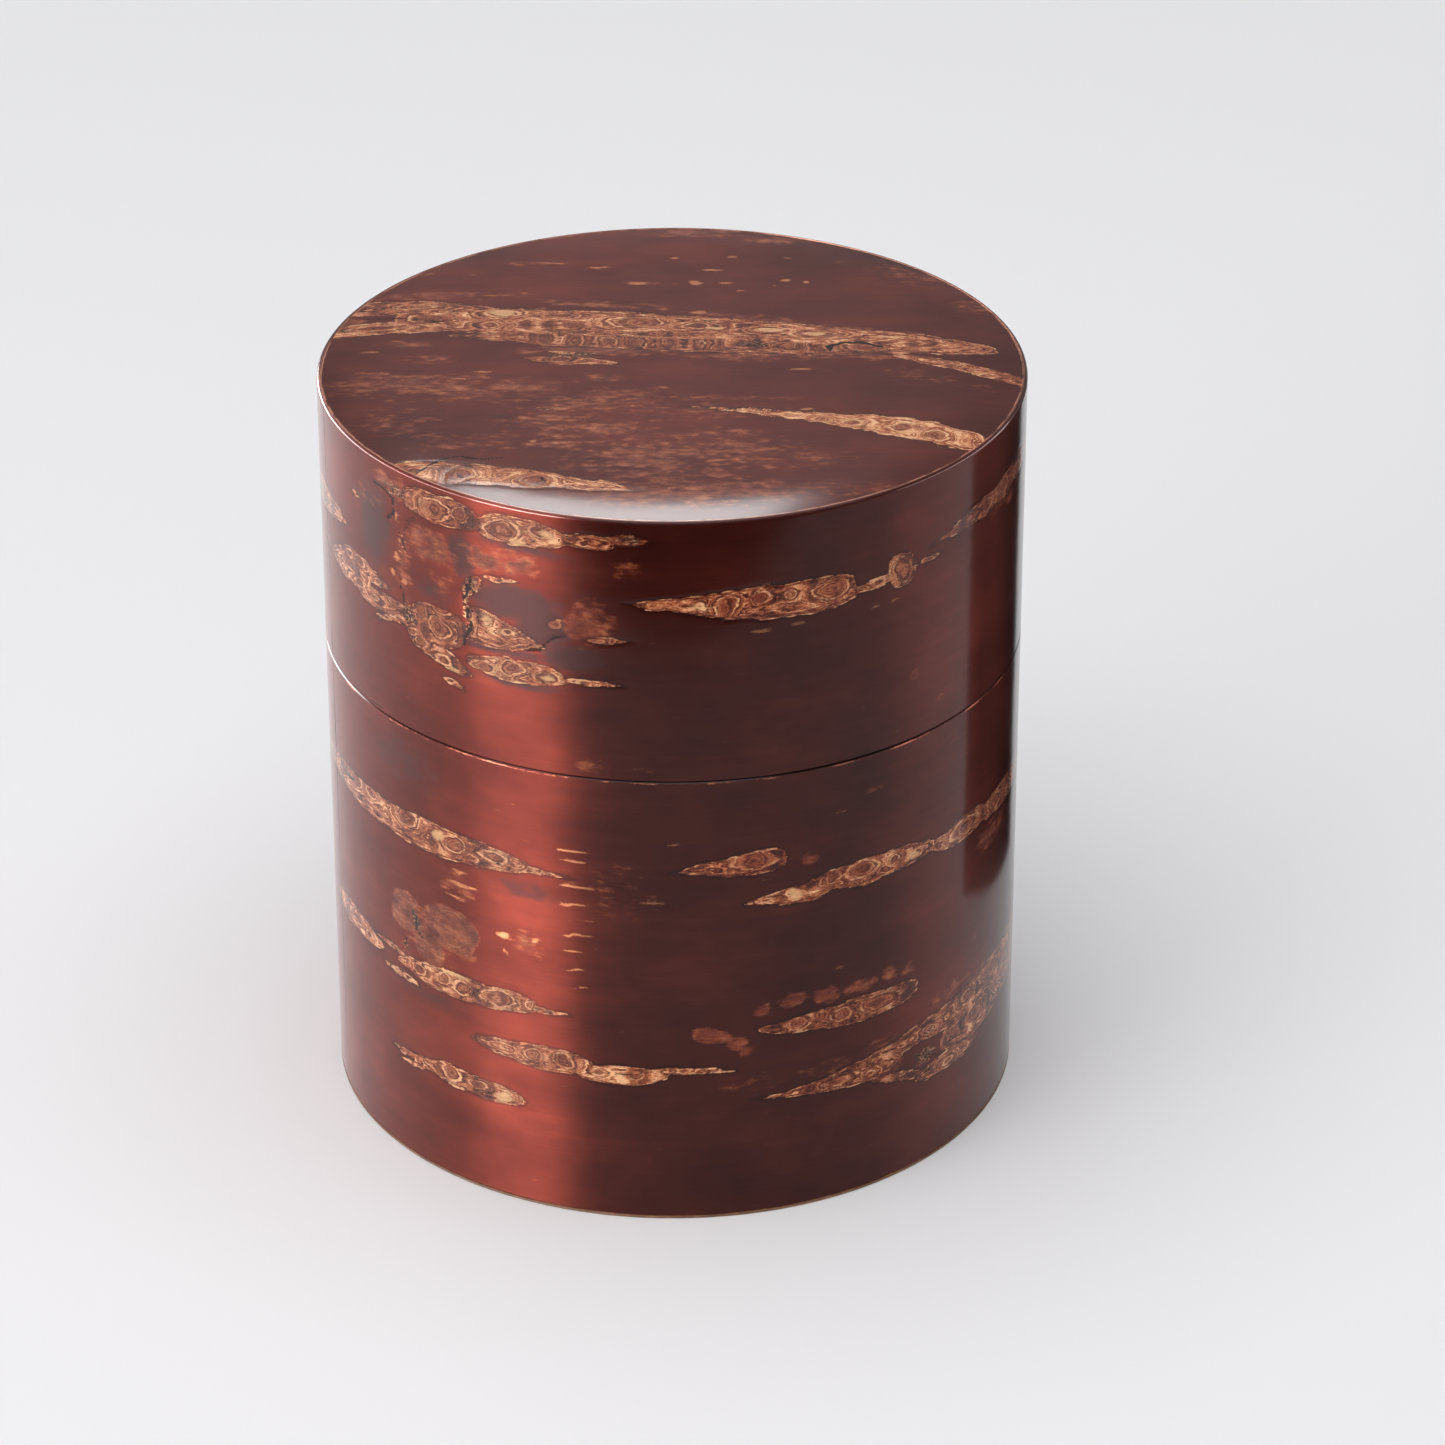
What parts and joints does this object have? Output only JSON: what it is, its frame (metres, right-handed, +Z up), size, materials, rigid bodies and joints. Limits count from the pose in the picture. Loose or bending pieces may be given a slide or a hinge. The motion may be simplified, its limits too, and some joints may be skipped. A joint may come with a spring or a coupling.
{
  "type": "tea caddy",
  "caption": "Round tea caddy of cherry bark over wood veneer: a body with a tall inner neck, an inner plug lid with a small turned knob, and an outer lid that slides down over the neck.",
  "frame": {"origin": "centre of the underside of the base, on the table", "axes": "+Z up the caddy's axis through the lids, -Y towards the front, +X to the right seen from the front"},
  "size_m": [0.085, 0.085, 0.0939],
  "materials": {
    "outer_bark": "polished cherry bark, satin gloss, dark maroon with tan lenticels",
    "inner_bark": "polished cherry bark, darker and plainer",
    "bark_edge": "cut edge of cherry bark, matt, warm tan",
    "knob_bark": "glued-up layers of cherry bark, turned and polished",
    "veneer": "thin wound wood veneer, sanded",
    "board": "plain softwood board, sanded",
    "bamboo": "bamboo, cut to a round peg"
  },
  "bodies": {
    "body": {"base_bark_disc": "bark_edge", "base_board": "board", "body_core_tube": "veneer", "body_bark_wrap": "outer_bark", "inner_tube_core": "veneer", "inner_tube_lining": "inner_bark", "neck_bark_sleeve": "inner_bark", "floor_bark_disc": "inner_bark"},
    "inner_lid": {"inner_lid_board": "board", "inner_lid_top_bark": "inner_bark", "inner_lid_bottom_bark": "inner_bark", "inner_lid_edge_band": "inner_bark", "inner_lid_hoop": "veneer", "inner_lid_hoop_bark": "inner_bark", "inner_lid_hoop_lining": "inner_bark", "knob": "knob_bark", "knob_peg": "bamboo"},
    "lid": {"lid_core_tube": "veneer", "lid_bark_wrap": "outer_bark", "lid_lining": "inner_bark", "lid_board": "board", "lid_top_bark": "outer_bark", "lid_ceiling_bark": "inner_bark"}
  },
  "joints": [
    {"name": "inner_lid_lift", "type": "slide", "parent": "body", "child": "inner_lid", "axis": [0, 0, 1], "range_m": [0, 0.035]},
    {"name": "lid_lift", "type": "slide", "parent": "inner_lid", "child": "lid", "axis": [0, 0, 1], "range_m": [0, 0.06]}
  ]
}
